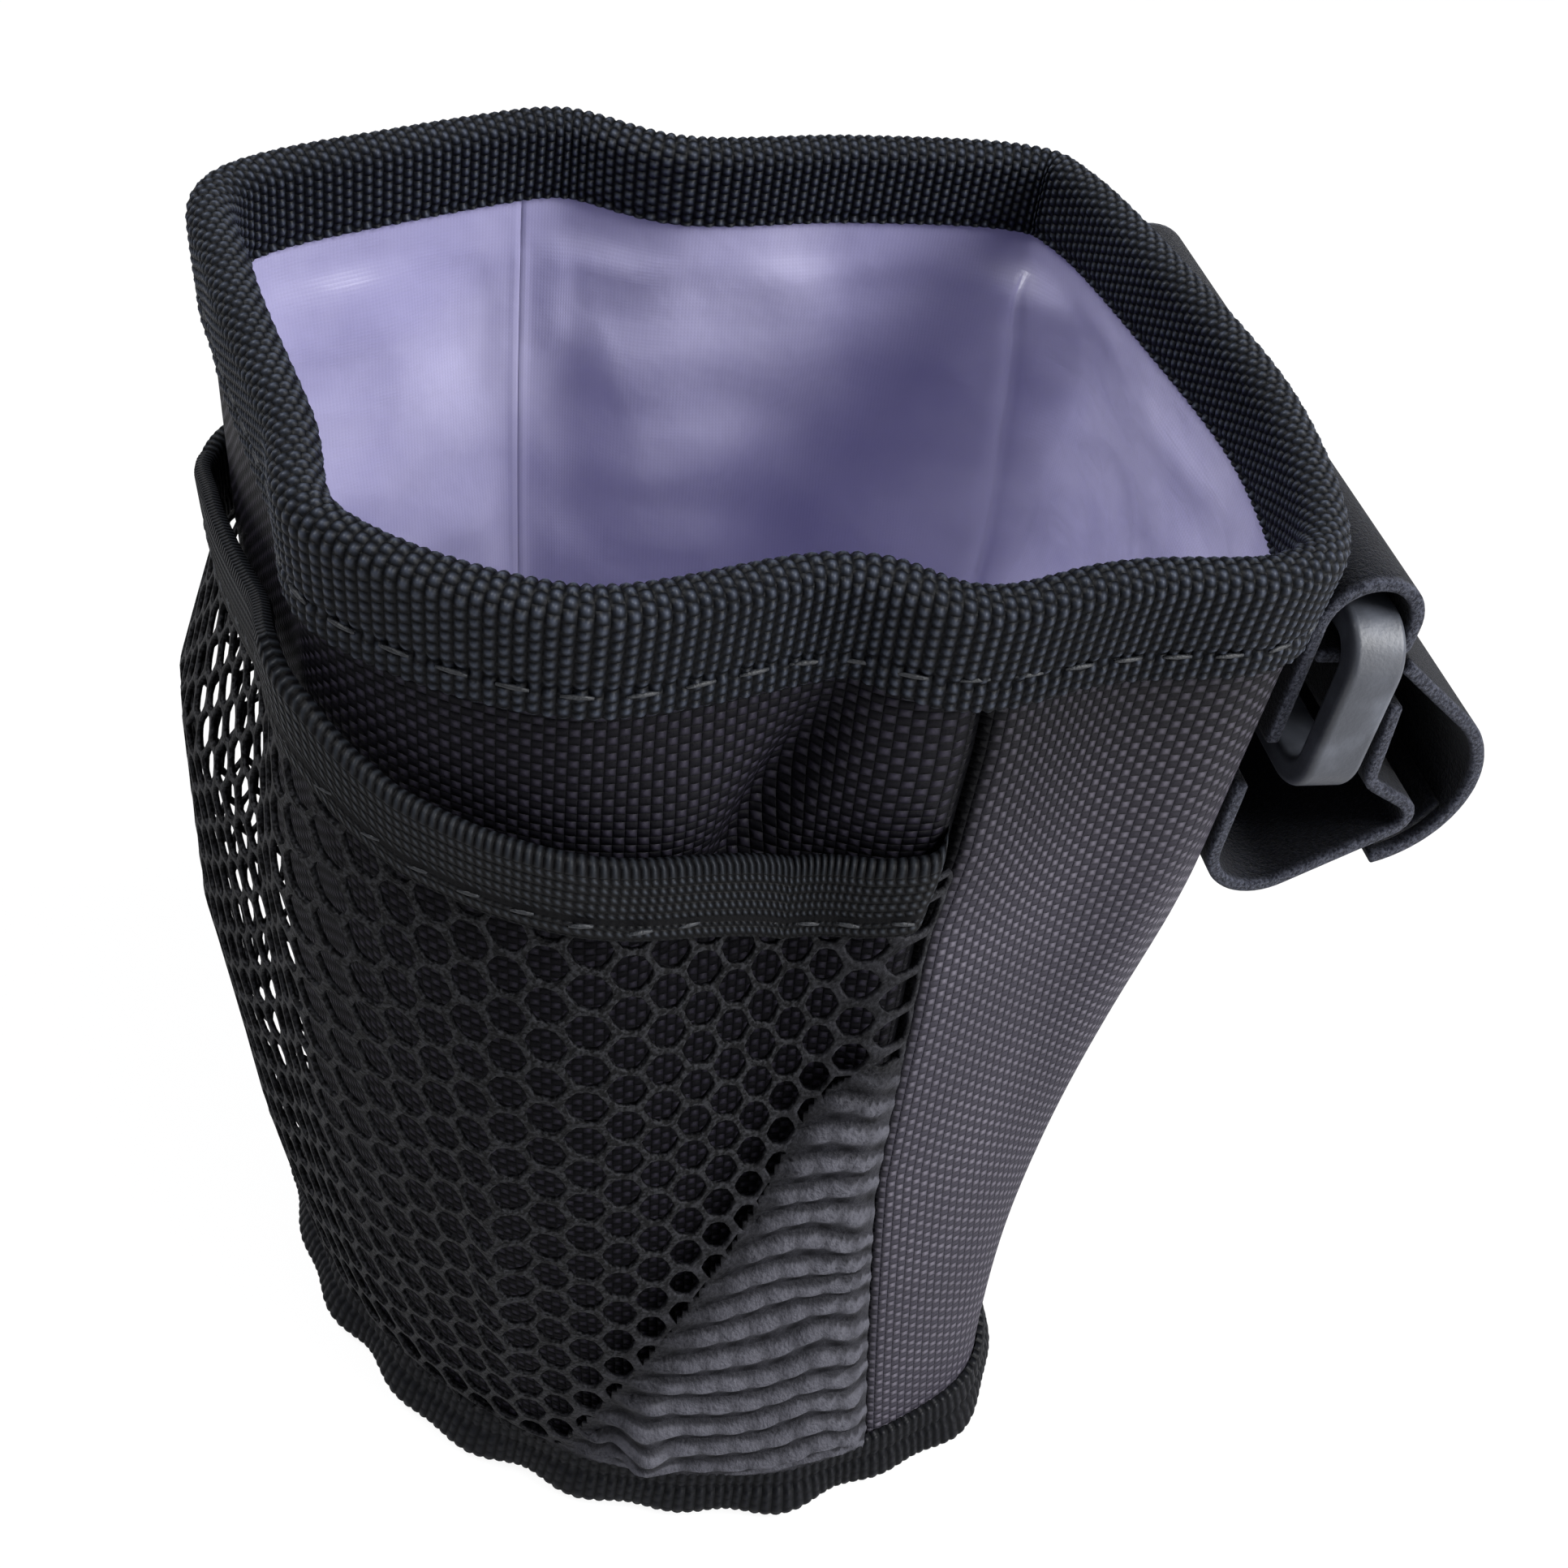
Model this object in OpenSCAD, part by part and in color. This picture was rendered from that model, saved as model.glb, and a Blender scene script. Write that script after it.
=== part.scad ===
// Open-top treat pouch with mesh pockets, a smooth lining and a hook-and-loop belt strap.
// Millimetres, +Z up. The origin is on the floor under the middle of the base.
// +Y points out of the flat back wall, which carries the strap, and -Y out of the pocket side.

/* [Pouch] */
// Height from the floor to the top of the rim
pouch_height = 110; // [98:1:126]
// Radius of the round front of the base, at the bottom seam
base_radius = 42; // [38:1:46]
// From the base's middle to its flat back edge
base_back = 27; // [25:1:29]
// Thickness of the outer cloth
cloth = 0.8; // [0.6:0.1:1]
// Thickness of the lining
lining = 0.6; // [0.4:0.1:0.6]

/* [Bindings] */
// Depth of each leg of the folded tape on the rim
rim_leg = 10; // [8:0.5:14]
// Thickness of the binding tape
tape = 0.9; // [0.6:0.1:1]
// Height of the bound bottom seam
seam_height = 7; // [6:0.5:9]
// How far the bottom seam flares outwards
seam_flare = 2; // [1:0.25:3]
// Height of the waves along the bottom seam
seam_wave = 0.7; // [0:0.1:1]
// Number of waves round the bottom seam
seam_waves = 26; // [12:1:36]

/* [Mesh pockets] */
// Depth of the folded elastic along the pockets' top edge
elastic_depth = 8; // [6:0.5:10]
// Thickness of the elastic
elastic = 0.8; // [0.6:0.1:0.9]
// Thickness of the net
net = 0.7; // [0.5:0.1:0.8]
// Width of the net's strands
strand = 0.9; // [0.7:0.1:1.4]
// Gaps of the net along the pockets' edge
net_columns = 19; // [12:1:22]
// Rows of gaps from the bottom seam to the elastic
net_rows = 12; // [8:1:13]
// How far the loose net stands out from the wall
net_belly = 5.5; // [4:0.5:8]

/* [Belt strap] */
// Width of the hook-and-loop tape
strap_width = 60; // [50:1:62]
// Thickness of the hook-and-loop tape
strap = 1.2; // [1:0.1:1.4]
// Middle of the strap along the back wall
strap_middle = -8; // [-10:0.5:-2]
// Thickness of the hook patch
hook = 0.8; // [0.6:0.1:1]

/* [Ring] */
// Depth of the ring's bar, across the ring's plane
ring_deep = 5; // [4.2:0.1:5.2]
// Thickness of the ring's bar, in the ring's plane
ring_thick = 2.6; // [2.4:0.1:3]
// Distance between the middles of the ring's long bars
ring_pitch = 16; // [15:0.5:16.5]
// Room between the strap's edges and the ring's short bars
ring_room = 0.5; // [0.4:0.1:1]

/* [Hidden] */
$fn = 72;

// The mouth's ridge, seen from above, anticlockwise from the near side seam
mouth_points = [[33.6, 2.5], [31.6, 16], [30.6, 27.5], [24.5, 33.6], [7, 36.4], [-13, 34.4],
    [-30.5, 31], [-35.8, 26], [-35.6, 9], [-33.4, -7], [-37, -19], [-31.5, -34],
    [-22, -48.5], [-8, -48], [12, -43.8], [26, -41], [35, -25], [31.4, -8]];
mouth_middle = [-2, -8];
mouth_scale = base_radius / 42;
// Places round the wall are numbered by these points, so the side seams are at 0 and far_seam
turn = len(mouth_points);
far_seam = 10;
steps = 4;
// The near side seam leans: how far along it is moved at each height, and how far round that is felt
seam_lean = [[45, -0.1], [65, 0.03], [76, 0.08], [84, 0.18], [94, 0.23]];
lean_reach = 0.8;
// How soon the wall takes the mouth's shape on its way up, and how sharp the base's back corners are
mouth_ease = 1.6;
back_sharpness = 14;

// Layers of the wall, measured outwards from the middle of the outer cloth
slack = 0.25;
cloth_in = -cloth / 2;
cloth_out = cloth / 2;
lining_out = cloth_in - slack;
lining_in = lining_out - lining;
side_levels = concat([seam_height, 25], [for (d = [64, 50, 36, 22, rim_leg]) pouch_height - d]);
wall_levels = concat([1.2, 3.5], side_levels, [pouch_height - 2.6]);
lining_levels = concat(side_levels, [pouch_height - 2.8]);
rim_middle = (cloth_out + lining_in) / 2;
rim_gap = (cloth_out - lining_in) / 2 + slack;
base_turn = 1.6;
base_gap = cloth / 2 + slack;
// The bottoms are trays inside the wall
base_sheet = 1;
base_tray = -1.7;
lining_tray = base_tray - base_sheet - slack;
tray_top = seam_height - 0.5;

// Top edge of the elastic: place round the wall and depth under the rim; the elastic is tacked down at 13.2
pocket_top = [[10, 24], [11, 25], [12.2, 26], [13.2, 21], [14, 16.5], [14.65, 13.2], [15, 14.8], [15.2, 17.1],
    [15.4, 19], [15.7, 20.2], [16, 21], [16.5, 22.8], [16.95, 25], [17.5, 24.4], [18, 23]];
// How much of the belly the net has along the pockets, and up them as far as the elastic
belly_along = [[10, 0.1], [11, 0.5], [12.2, 1], [13.2, 1], [14.2, 0.4], [15.3, 0.2], [16.2, 0.15], [18, 0]];
belly_up = [[0, 0], [0.2, 0.6], [0.5, 1], [0.8, 0.9], [1, 0]];
net_room = 0.4;
net_hug = cloth_out + slack + elastic + net_room + net / 2;
net_bottom = seam_height + 0.6;
// A node of the net is moved up or down by this share of a row, which makes the gaps six-sided
zigzag = 1 / 6;

// The strap's parts, seen from its end: Y outwards and Z up
wall_face = 37.4 * mouth_scale;
arch_radius = 4.3;
arch_drop = 13.4;
arch_middle = [wall_face + strap / 2 + arch_radius, pouch_height - arch_drop];
keeper_leg = 12.6;
keeper_corner = 1.2;
tunnel_floor = 3.1;
ring_axis = arch_middle + [0.5, -0.1];
ring_corner = 3.4;
ring_edge = 0.7;
flap_start = arch_middle + [5.3, -4.3];
flap_heading = -38;
flap_line = 10.5;
flap_radius = 9.6;
flap_bend = 124;
flap_middle = flap_start + flap_line * [cos(flap_heading), sin(flap_heading)]
    + flap_radius * [sin(flap_heading), -cos(flap_heading)];
hook_bend = 48;
hook_end = 4;
hook_edge = 1;
lower_start = [wall_face - 0.5, arch_middle[1] - 17.6];
lower_run = [[8, 0], [5, 123], [11, 0], [2, 117], [4.2, 0], [2, -55], [8, 0]];
bend_step = 6;

// The strap's seams pull the back wall out as far as this face, over these heights and between these ends
pull_face = wall_face - 1.3 - cloth_out;
pull_heights = [for (d = [70, 38, 24, 5]) pouch_height - d];
pull_ends = [strap_middle - strap_width / 2, strap_middle + strap_width / 2];

function mix(a, b, share) = a + (b - a) * share;
function point(i) = mouth_scale * mouth_points[(i + turn) % turn];
function smooth(a, b, c, d, t) = 0.5 * (2 * b + (c - a) * t + (2 * a - 5 * b + 4 * c - d) * t * t
    + (3 * b - a - 3 * c + d) * t * t * t);
function mouth(u) = let (i = floor(u)) smooth(point(i - 1), point(i), point(i + 1), point(i + 2), u - i);
function bearing(u) = let (p = mouth(u) - mouth_scale * mouth_middle) atan2(p[1], p[0]);

// The base is a circle with a flat back, and the two run into each other
function base_reach(a) = pow(pow(1 / base_radius, back_sharpness)
    + pow(max(sin(a), 0) / base_back, back_sharpness), -1 / back_sharpness);
function flange(a, z) = max(0, 1 - z / seam_height) * (seam_flare + seam_wave * sin(seam_waves * a));
function height_share(z) = min(1, max(0, (z - seam_height) / (pouch_height - seam_height)));
function mouth_share(z) = 1 - pow(1 - height_share(z), mouth_ease);
function ease(t) = let (s = min(1, max(0, t))) s * s * (3 - 2 * s);
function between(low, high, x) = ease((x - low) / (high - low));
function pull(p, z) = p[1] < mouth_scale * 20 ? 0 : max(0, pull_face - p[1])
    * between(pull_heights[0], pull_heights[1], z) * between(pull_heights[3], pull_heights[2], z)
    * between(pull_ends[0] + 2, pull_ends[0] + 12, p[0]) * between(pull_ends[1] + 5, pull_ends[1] - 2, p[0]);
function lean(u, z) = lookup(z, seam_lean) * exp(-pow((u > turn / 2 ? u - turn : u) / lean_reach, 2));
function section(u, z) = let (v = u + lean(u, z), a = bearing(v),
    p = mix((base_reach(a) + flange(a, z)) * [cos(a), sin(a)], mouth(v), mouth_share(z))) p + [0, pull(p, z)];
function outwards(u, z) = let (p = section(u + 0.02, z) - section(u - 0.02, z)) [p[1], -p[0]] / norm(p);
// A point of the wall at place u and height z, moved outwards by away
function wall(u, z, away) = let (p = section(u, z) + away * outwards(u, z)) [p[0], p[1], z];
function places(from, to) = [for (i = [0 : (to - from) * steps]) from + i / steps];
function backwards(list) = [for (i = [len(list) - 1 : -1 : 0]) list[i]];

// Profiles are closed loops of [away, height], the outer side first
function sheet(levels, inner, outer) = concat([for (z = levels) [outer, z]],
    [for (z = backwards(levels)) [inner, z]]);
function fold_side(middle, radius, leg, bend, lift) = concat([[middle + lift * radius, leg]],
    [for (a = [0 : 60 : 180]) [middle + lift * radius * cos(a), bend + lift * radius * sin(a)]],
    [[middle - lift * radius, leg]]);
function fold(middle, gap, thick, leg, bend, lift) = concat(fold_side(middle, gap + thick, leg, bend, lift),
    backwards(fold_side(middle, gap, leg, bend, lift)));

// Sweeps a profile, which may change on its way, along the wall
module sewn(round_wall, profile, closed = false) {
    rows = [for (u = round_wall) [for (p = profile(u)) wall(u, p[1], p[0])]];
    n = len(rows);
    m = len(rows[0]);
    sides = [for (i = [0 : n - (closed ? 1 : 2)], j = [0 : m - 1])
        let (here = i * m, next = (i + 1) % n * m, k = (j + 1) % m)
        each [[here + j, here + k, next + k], [here + j, next + k, next + j]]];
    last = (n - 1) * m;
    ends = closed ? [] : [for (j = [0 : m / 2 - 2]) let (k = m - 1 - j)
        each [[k, k - 1, j + 1], [k, j + 1, j],
            [last + j, last + j + 1, last + k - 1], [last + j, last + k - 1, last + k]]];
    polyhedron([for (row = rows) each row], concat(sides, ends));
}

// The outline of the base, moved outwards by away
module base_outline(away) {
    polygon([for (u = places(0, turn - 1 / steps)) let (p = wall(u, seam_height, away)) [p[0], p[1]]]);
}

// A bottom with its edge turned up
module tray(floor_z, thick, away, rim_z) {
    difference() {
        translate([0, 0, floor_z])
            linear_extrude(rim_z - floor_z)
                base_outline(away);
        translate([0, 0, floor_z + thick])
            linear_extrude(rim_z)
                base_outline(away - thick);
    }
}

module pocket_panel() {
    color("#2a2830")
        sewn(places(far_seam, turn), function (u) sheet(wall_levels, cloth_in, cloth_out));
}

module strap_panel() {
    color("#35323c")
        sewn(places(0, far_seam), function (u) sheet(wall_levels, cloth_in, cloth_out));
}

module base_panel() {
    color("#26242b")
        tray(0, base_sheet, base_tray, tray_top);
}

module lining_front() {
    color("#a9a6d2")
        sewn(places(far_seam, turn), function (u) sheet(lining_levels, lining_in, lining_out));
}

module lining_back() {
    color("#a39fcd")
        sewn(places(0, far_seam), function (u) sheet(lining_levels, lining_in, lining_out));
}

module lining_base() {
    color("#9a96c6")
        tray(base_sheet + slack, lining, lining_tray, tray_top);
}

module rim_binding() {
    bend = pouch_height - rim_gap - tape;
    color("#1d1f26")
        sewn(places(0, turn - 1 / steps),
            function (u) fold(rim_middle, rim_gap, tape, pouch_height - rim_leg, bend, 1), true);
}

module base_binding() {
    color("#1d1f26")
        sewn(places(0, turn - 1 / steps),
            function (u) fold(0, base_gap, tape, seam_height - 0.2, base_turn, -1), true);
}

function elastic_top(u) = pouch_height - lookup(u, pocket_top);
function net_free(u) = elastic_top(u) - elastic_depth - slack;
function net_top(u) = elastic_top(u) - elastic - net_room;
function net_away(u, z) = net_hug + net_belly * lookup(u, belly_along)
    * lookup((z - net_bottom) / (net_free(u) - net_bottom), belly_up);

module pocket_elastic() {
    gap = net / 2 + net_room;
    color("#16171c")
        sewn(places(far_seam, turn), function (u)
            fold(net_hug, gap, elastic, elastic_top(u) - elastic_depth, elastic_top(u) - gap - elastic, 1));
}

// The net is a wall of six-sided cells; each cell has a gap drawn in from its corners.
// Its last row of cells is held in the folded elastic.
module pocket_mesh() {
    marks = places(far_seam, turn);
    run = [for (i = 0, s = 0; i < len(marks); i = i + 1,
        s = s + norm(mouth(marks[min(i, len(marks) - 1)]) - mouth(marks[i - 1]))) [s, marks[i]]];
    span = run[len(run) - 1][0];
    width = 2 * net_columns + 2;
    cells = [for (r = [0 : net_rows - 1], c = [0 : net_columns - 1]) [c, r]];
    draw = strand * net_columns / span;
    free = (net_rows - 1 + zigzag) / net_rows;
    function lift(i, j) = j == 0 || j == net_rows ? 0 : (i + j) % 2 == 0 ? zigzag : -zigzag;
    function knot(i, j) = [i / (width - 1), (j + lift(i, j)) / net_rows];
    function corners(cell) = let (i = 2 * cell[0] + cell[1] % 2, j = cell[1])
        [[i, j], [i + 1, j], [i + 2, j], [i + 2, j + 1], [i + 1, j + 1], [i, j + 1]];
    function gap(cell) = let (k = [for (p = corners(cell)) knot(p[0], p[1])],
        middle = (k[0] + k[1] + k[2] + k[3] + k[4] + k[5]) / 6) [for (p = k) mix(p, middle, draw)];
    function level(u, share) = lookup(share, [[0, net_bottom], [free, net_free(u)], [1, net_top(u)]]);
    function place(k, side) = let (u = lookup(k[0] * span, run), z = level(u, k[1]))
        wall(u, z, net_away(u, z) + side * net / 2);
    knots = concat([for (j = [0 : net_rows], i = [0 : width - 1]) knot(i, j)],
        [for (cell = cells) each gap(cell)]);
    count = len(knots);
    function outer_edge(c, r, k) = r == 0 && k < 2 || r == net_rows - 1 && (k == 3 || k == 4)
        || c == net_columns - 1 && k == 2 || c == 0 && k == 5
        || c == 0 && r % 2 == 0 && (k == 0 || k == 4)
        || c == net_columns - 1 && r % 2 == 1 && (k == 1 || k == 3);
    function wall_between(a, b) = [[a, b, b + count], [a, b + count, a + count]];
    faces = [for (n = [0 : len(cells) - 1], k = [0 : 5])
        let (p = corners(cells[n])[k], q = corners(cells[n])[(k + 1) % 6],
            a = p[0] + p[1] * width, b = q[0] + q[1] * width,
            first = (net_rows + 1) * width + 6 * n, d = first + k, e = first + (k + 1) % 6)
        each concat([[a, d, e], [a, e, b],
            [a + count, e + count, d + count], [a + count, b + count, e + count]],
            wall_between(e, d), outer_edge(cells[n][0], cells[n][1], k) ? wall_between(a, b) : [])];
    color("#101015")
        polyhedron(concat([for (k = knots) place(k, 1)], [for (k = knots) place(k, -1)]), faces);
}

// A tape's run in steps: [length, 0] goes straight, and [radius, angle] bends, to the left over 0.
// Its stops are [y, z, heading].
function after(at, step) = let (h = at[2] + step[1], s = sign(step[1]), r = step[0])
    s == 0 ? [at[0] + r * cos(h), at[1] + r * sin(h), h]
        : [at[0] + s * r * (sin(h) - sin(at[2])), at[1] - s * r * (cos(h) - cos(at[2])), h];
function trail(at, run, i = 0) = i == len(run) ? [at]
    : let (step = run[i], n = max(1, ceil(abs(step[1]) / bend_step)))
        concat([at], [for (k = [1 : 1 : n - 1]) after(at, [step[0], step[1] * k / n])],
            trail(after(at, step), run, i + 1));
function beside(at, away) = [at[0] - away * sin(at[2]), at[1] + away * cos(at[2])];

// Draws a flat outline out along the back wall
module along_wall(width) {
    translate([strap_middle - width / 2, 0, 0])
        rotate([90, 0, 90])
            linear_extrude(width)
                children();
}

module tape_run(start, run, thick, width) {
    stops = trail(start, run);
    along_wall(width)
        polygon(concat([for (at = stops) beside(at, -thick / 2)],
            [for (at = backwards(stops)) beside(at, thick / 2)]));
}

// Sewn leg, arch over the ring's bar, and the floor of the tunnel back to the leg
module strap_keeper() {
    floor_run = 2 * arch_radius - keeper_corner - strap / 2 - slack;
    color("#17181d")
        tape_run([wall_face + strap / 2, arch_middle[1] - keeper_leg, 90],
            [[keeper_leg, 0], [arch_radius, -180], [tunnel_floor - keeper_corner, 0],
                [keeper_corner, -90], [floor_run, 0]],
            strap, strap_width);
}

module strap_flap() {
    color("#1a1b20")
        tape_run([flap_start[0], flap_start[1], flap_heading], [[flap_line, 0], [flap_radius, -flap_bend]],
            strap, strap_width);
}

// The hook patch lies inside the flap's end
module flap_hook() {
    radius = flap_radius - (strap + hook) / 2 - slack / 5;
    heading = flap_heading - flap_bend + hook_end + hook_bend;
    start = flap_middle + radius * [-sin(heading), cos(heading)];
    color("#0e0e12")
        tape_run([start[0], start[1], heading], [[radius, -hook_bend]], hook, strap_width - 2 * hook_edge);
}

// Sewn leg, turn at the bottom, and the loose end that buckles up inside the closed loop
module strap_lower() {
    color("#1b1c22")
        tape_run([lower_start[0], lower_start[1], -90], lower_run, strap, strap_width);
}

// The ring's bar is flat, with round edges
module bar_section() {
    flat = [ring_thick, ring_deep] / 2 - [1, 1] * ring_edge;
    square([ring_thick, 2 * flat[1]], center = true);
    square([2 * flat[0], ring_deep], center = true);
    for (i = [-1, 1], j = [-1, 1])
        translate([i * flat[0], j * flat[1]])
            circle(ring_edge);
}

module ring_bar(length) {
    linear_extrude(length, center = true)
        bar_section();
}

module strap_ring() {
    span = strap_width + 2 * ring_room + ring_thick;
    color("#3a3d44")
        translate([strap_middle, ring_axis[0], ring_axis[1] - ring_pitch / 2])
            for (s = [-1, 1]) {
                translate([0, 0, s * ring_pitch / 2])
                    rotate([0, 90, 0])
                        ring_bar(span - 2 * ring_corner);
                translate([s * span / 2, 0, 0])
                    ring_bar(ring_pitch - 2 * ring_corner);
                for (t = [-1, 1])
                    translate([s * (span / 2 - ring_corner), 0, t * (ring_pitch / 2 - ring_corner)])
                        rotate([90, 0, 0])
                            rotate(s > 0 ? (t > 0 ? 0 : -90) : (t > 0 ? 90 : 180))
                                rotate_extrude(angle = 90)
                                    translate([ring_corner, 0])
                                        bar_section();
            }
}

pocket_panel();
strap_panel();
base_panel();
lining_front();
lining_back();
lining_base();
rim_binding();
base_binding();
pocket_mesh();
pocket_elastic();
strap_keeper();
strap_ring();
strap_flap();
flap_hook();
strap_lower();
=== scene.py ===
"""Looks of an open-top treat pouch: woven cloth, lining, ribbed bindings, net pockets and a belt strap."""

import bmesh
import bpy
import numpy as np
from mathutils import Matrix, Vector, noise


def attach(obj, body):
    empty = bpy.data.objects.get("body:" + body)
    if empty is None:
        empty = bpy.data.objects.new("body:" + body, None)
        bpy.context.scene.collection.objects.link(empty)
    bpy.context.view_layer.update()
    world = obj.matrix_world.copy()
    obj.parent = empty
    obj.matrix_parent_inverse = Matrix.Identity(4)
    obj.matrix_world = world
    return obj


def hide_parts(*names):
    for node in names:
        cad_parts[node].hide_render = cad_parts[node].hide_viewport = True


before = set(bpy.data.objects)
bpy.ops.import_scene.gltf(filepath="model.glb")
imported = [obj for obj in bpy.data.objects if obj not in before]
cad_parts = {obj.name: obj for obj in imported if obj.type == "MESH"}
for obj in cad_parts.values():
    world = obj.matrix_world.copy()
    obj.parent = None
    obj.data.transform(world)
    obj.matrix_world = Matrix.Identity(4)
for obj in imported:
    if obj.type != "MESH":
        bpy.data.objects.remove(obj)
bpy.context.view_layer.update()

# Lengths are in millimetres until a mesh is placed
MM = 0.001

# The pouch's form, with the part's own values
POUCH_HEIGHT = 110
BASE_RADIUS = 42
BASE_BACK = 27
BACK_SHARPNESS = 14
SEAM_HEIGHT = 7
SEAM_FLARE = 2
# Waves of the base's edge: height, count round the pouch and shift
BASE_WAVES = ((0.45, 26, 0), (0.4, 15, 0.7), (0.25, 9, 2))
MOUTH_EASE = 1.6
MOUTH_MIDDLE = (-2, -8)
MOUTH_POINTS = np.array([
    (33.6, 2.5), (31.6, 16), (30.6, 27.5), (24.5, 33.6), (7, 36.4), (-13, 34.4),
    (-30.5, 31), (-35.8, 26), (-35.6, 9), (-33.4, -7), (-37, -19), (-31.5, -34),
    (-22, -48.5), (-8, -48), (12, -43.8), (26, -41), (35, -25), (31.4, -8)])
# Places round the wall are numbered by the mouth's points; the near seam is at 0
TURN = len(MOUTH_POINTS)
FAR_SEAM = 10
FAR_LINING_SEAM = FAR_SEAM + 0.25

# The near side seam leans: how far along it is moved at each height
SEAM_LEAN = ((45, -0.1), (65, 0.03), (76, 0.08), (84, 0.18), (94, 0.23))
LEAN_REACH = 0.8
# The strap's seams pull the back wall out to this face, over these heights and between these ends
PULL_FACE = 35.7
PULL_BEHIND = 20
PULL_HEIGHTS = (40, 72, 86, 105)
PULL_LEFT = (-36, -26)
PULL_RIGHT = (27, 20)

# Dents and swells of the soft wall: place, height, half width, half height, depth and lean
SOFT_SPOTS = (
    (16.86, 88, 0.15, 10, -2.9, 0.024),
    (16.45, 89, 0.22, 9, 0.9, 0.02),
    (17.45, 91, 0.3, 8, 0.7, 0),
    (1.1, 62, 0.7, 26, -0.9, 0),
    (2.2, 80, 0.5, 20, 0.7, 0),
    (14.6, 60, 0.6, 22, -0.8, 0))

# Heights at which lengths along the wall are measured
PANEL_LEVEL = 60
NET_LEVEL = 50
ELASTIC_LEVEL = 82
ROUND_STEPS = 2000
SIDESTEP = 0.02

# Cloths: lower and upper edges, thickness, steps of their grids, and the yarns across and up
CLOTH_LOW = 1.6
CLOTH_THICK = 0.5
CLOTH_STEPS = (150, 90)
LINING_LOW = SEAM_HEIGHT - 3
LINING_THICK = 0.3
LINING_STEPS = (170, 110)
PANEL_TOP = POUCH_HEIGHT - 2.6
YARNS = (0.83, 0.72)
# The strap-side cloth gets painted light low down: it turns lighter between these heights, in metres, towards
# these colours
LOW_LIGHT_FROM, LOW_LIGHT_TO = 0.1, 0.07
LOW_LIT_DARK, LOW_LIT_LIGHT = "#33313a", "#6a6671"

# The lining's inset, its most give outwards, its creased corner and where its folds begin under the tape
LINING_INSET = 1.35
LINING_GIVE = 0.5
LINING_CREASE = 6.5
FOLDS_BELOW = (POUCH_HEIGHT - 11, POUCH_HEIGHT - 14)
# Sharp folds of the lining run slantwise
SLANT = np.array(((0.8, 0.6, 0), (-0.35, 0.5, 0), (0, 0, 1)))

# The bottoms: steps of their grid, share that is flat, share at which they meet the wall, rise and unevenness
BOTTOM_STEPS = 60
BOTTOM_FLAT = 0.93
BOTTOM_MEETS = 0.96
BOTTOM_RISE = 4.5
BOTTOM_UNEVEN = 0.35

# Steps along each rib of a binding and each loop of the elastic
LOOP_STEPS = 4
# Binding tape: ribs along it, beads across it, its turned-in edge and its row of stitches
RIB = 0.98
BEAD = 0.9
TAPE_LIP = 0.7
TAPE_STITCH = 2.6
RIM_SEAM = POUCH_HEIGHT - 7.6
FOLD_STEPS = 15
FOLD_EDGE = 0.15
# The rim's small rises and dips: place, half width and height
RIM_LIFTS = ((17.3, 0.35, 0.5), (0, 0.4, -0.9), (16.2, 0.6, 0.3), (10, 0.4, 0.4), (3, 0.8, -0.3))
THREAD_WIDTH = 0.42

# The elastic's top edge, as depth under the rim, and its fold, loops and row of stitches
POCKET_TOP = (
    (10, 24), (11, 25), (12.2, 26), (13.2, 21), (14, 16.5), (14.65, 13.2), (15, 14.8), (15.2, 17.1),
    (15.4, 19), (15.7, 20.2), (16, 21), (16.5, 22.8), (16.95, 25), (17.5, 24.4), (18, 23))
ELASTIC_DEPTH = 8
ELASTIC_RADIUS = 0.8
ELASTIC_LIP = 0.5
ELASTIC_STITCH = 5.2
ELASTIC_SEAM = 6.3
ELASTIC_ROWS = 26
KNIT = 0.64
KNIT_ROW = 0.92

# The net: its cells, edges and cover, its distance from the wall, and its belly along the pockets and up
NET_COLUMN = 2.75
NET_HALF = 2.15
NET_HALVES = 37
NET_ZIGZAG = 0.55
NET_KNOT = 0.22
NET_THICK = 0.5
NET_LOW = SEAM_HEIGHT - 1.5
NET_UNDER = 3
NET_HUG = 2.2
NET_FOOT = 0.8
NET_BELLY = 5.5
BELLY_ALONG = ((10, 0.1), (11, 0.5), (12.2, 1), (13.2, 1), (14.2, 0.4), (15.3, 0.2), (16.2, 0.15), (18, 0))
BELLY_UP = ((0, 0), (0.2, 0.6), (0.5, 1), (0.8, 0.9), (1, 0))
# Upright folds of the net: place, height, half width, half height and depth
NET_FOLDS = ((15.72, 38, 0.1, 20, 1.3), (16.42, 10, 0.09, 8, 1.5), (16.24, 11, 0.08, 8, -0.7))
# Half the thread's width between these amounts of being drawn shut, past which the net is a pleated sheet
NET_THREADS = ((-1, 0.15, 0.21), (0.15, 0.3, 0.27), (0.3, 0.45, 0.34), (0.45, 1, 0.45))
NET_SHUT = 0.62
SHEET_LAP = 0.1
SHEET_FROM = 0.6
SHEET_STEPS = (110, 190)
PLEAT = 3.4
PLEAT_BEAD = 2.8
# Values that the net's points carry for its material
NET_MARKS = ("knot", "drawn", "level", "along")

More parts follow.
